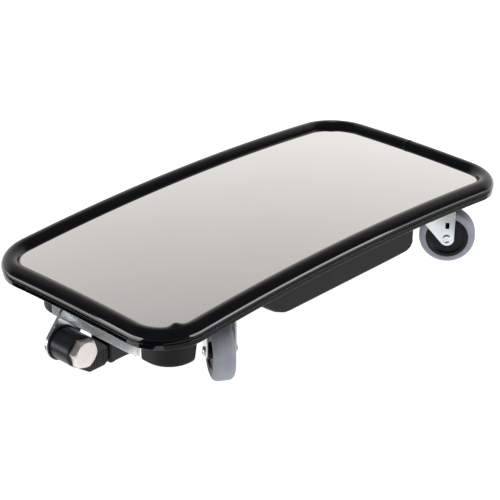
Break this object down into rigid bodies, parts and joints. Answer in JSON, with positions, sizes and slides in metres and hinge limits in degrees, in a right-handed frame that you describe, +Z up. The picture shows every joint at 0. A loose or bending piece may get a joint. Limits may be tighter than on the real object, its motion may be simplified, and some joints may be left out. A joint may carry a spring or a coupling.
{
  "type": "wheeled inspection mirror",
  "caption": "Wheeled inspection mirror: convex rectangular mirror in a black bulb trim on a formed shell, rolling on swivel castors, with a folding pole-socket knuckle at one end.",
  "frame": {"origin": "middle of the footprint on the floor", "axes": "+X along the mirror away from the bracket end, +Z up, -Y towards the long edge with the two castors that show"},
  "size_m": [0.4522, 0.2252, 0.0782],
  "materials": {
    "mirror": "polished convex reflective acrylic",
    "trim_rubber": "glossy black extruded trim",
    "shell_plastic": "fine grained black formed plastic",
    "zinc_steel": "bright zinc plate",
    "nickel_steel": "nickel plate",
    "ball_steel": "polished",
    "black_plastic": "moulded black plastic",
    "hub_plastic": "moulded black plastic",
    "tyre_grey": "grey thermoplastic rubber"
  },
  "bodies": {
    "mirror_head": {"mirror_plate": "mirror", "edge_trim": "trim_rubber", "back_shell": "shell_plastic", "handle_bracket": "zinc_steel", "bracket_screws": "zinc_steel", "pivot_bolt": "nickel_steel", "pivot_washer": "black_plastic", "castor_plate_1": "zinc_steel", "castor_plate_2": "zinc_steel", "castor_plate_3": "zinc_steel", "castor_plate_4": "zinc_steel", "plate_screws_1": "zinc_steel", "plate_screws_2": "zinc_steel", "plate_screws_3": "zinc_steel", "plate_screws_4": "zinc_steel", "king_pin_1": "zinc_steel", "king_pin_2": "zinc_steel", "king_pin_3": "zinc_steel", "king_pin_4": "zinc_steel", "race_balls_1": "ball_steel", "race_balls_2": "ball_steel", "race_balls_3": "ball_steel", "race_balls_4": "ball_steel"},
    "handle_knuckle": {"pivot_knuckle": "black_plastic", "pole_socket": "black_plastic"},
    "castor_1": {"fork_1": "zinc_steel", "axle_1": "zinc_steel"},
    "wheel_1": {"wheel_hub_1": "hub_plastic", "tyre_1": "tyre_grey"},
    "castor_2": {"fork_2": "zinc_steel", "axle_2": "zinc_steel"},
    "wheel_2": {"wheel_hub_2": "hub_plastic", "tyre_2": "tyre_grey"},
    "castor_3": {"fork_3": "zinc_steel", "axle_3": "zinc_steel"},
    "wheel_3": {"wheel_hub_3": "hub_plastic", "tyre_3": "tyre_grey"},
    "castor_4": {"fork_4": "zinc_steel", "axle_4": "zinc_steel"},
    "wheel_4": {"wheel_hub_4": "hub_plastic", "tyre_4": "tyre_grey"}
  },
  "joints": [
    {"name": "handle_hinge", "type": "hinge", "parent": "mirror_head", "child": "handle_knuckle", "pos_m": [-0.2103, 0, 0.0254], "axis": [0, 1, 0], "range_deg": [0, 190]},
    {"name": "castor_swivel_1", "type": "hinge", "parent": "mirror_head", "child": "castor_1", "pos_m": [0.1483, -0.072, 0.0563], "axis": [0, 0, 1], "continuous": true},
    {"name": "wheel_spin_1", "type": "hinge", "parent": "castor_1", "child": "wheel_1", "pos_m": [0.16025, -0.08804, 0.025], "axis": [0.8018, 0.5976, 0], "continuous": true},
    {"name": "castor_swivel_2", "type": "hinge", "parent": "mirror_head", "child": "castor_2", "pos_m": [-0.1197, -0.072, 0.0563], "axis": [0, 0, 1], "continuous": true},
    {"name": "wheel_spin_2", "type": "hinge", "parent": "castor_2", "child": "wheel_2", "pos_m": [-0.13085, -0.0886, 0.025], "axis": [0.83, -0.5577, 0], "continuous": true},
    {"name": "castor_swivel_3", "type": "hinge", "parent": "mirror_head", "child": "castor_3", "pos_m": [0.1483, 0.072, 0.0563], "axis": [0, 0, 1], "continuous": true},
    {"name": "wheel_spin_3", "type": "hinge", "parent": "castor_3", "child": "wheel_3", "pos_m": [0.16025, 0.08804, 0.025], "axis": [-0.8018, 0.5976, 0], "continuous": true},
    {"name": "castor_swivel_4", "type": "hinge", "parent": "mirror_head", "child": "castor_4", "pos_m": [-0.1197, 0.072, 0.0563], "axis": [0, 0, 1], "continuous": true},
    {"name": "wheel_spin_4", "type": "hinge", "parent": "castor_4", "child": "wheel_4", "pos_m": [-0.13085, 0.0886, 0.025], "axis": [-0.83, -0.5577, 0], "continuous": true}
  ]
}
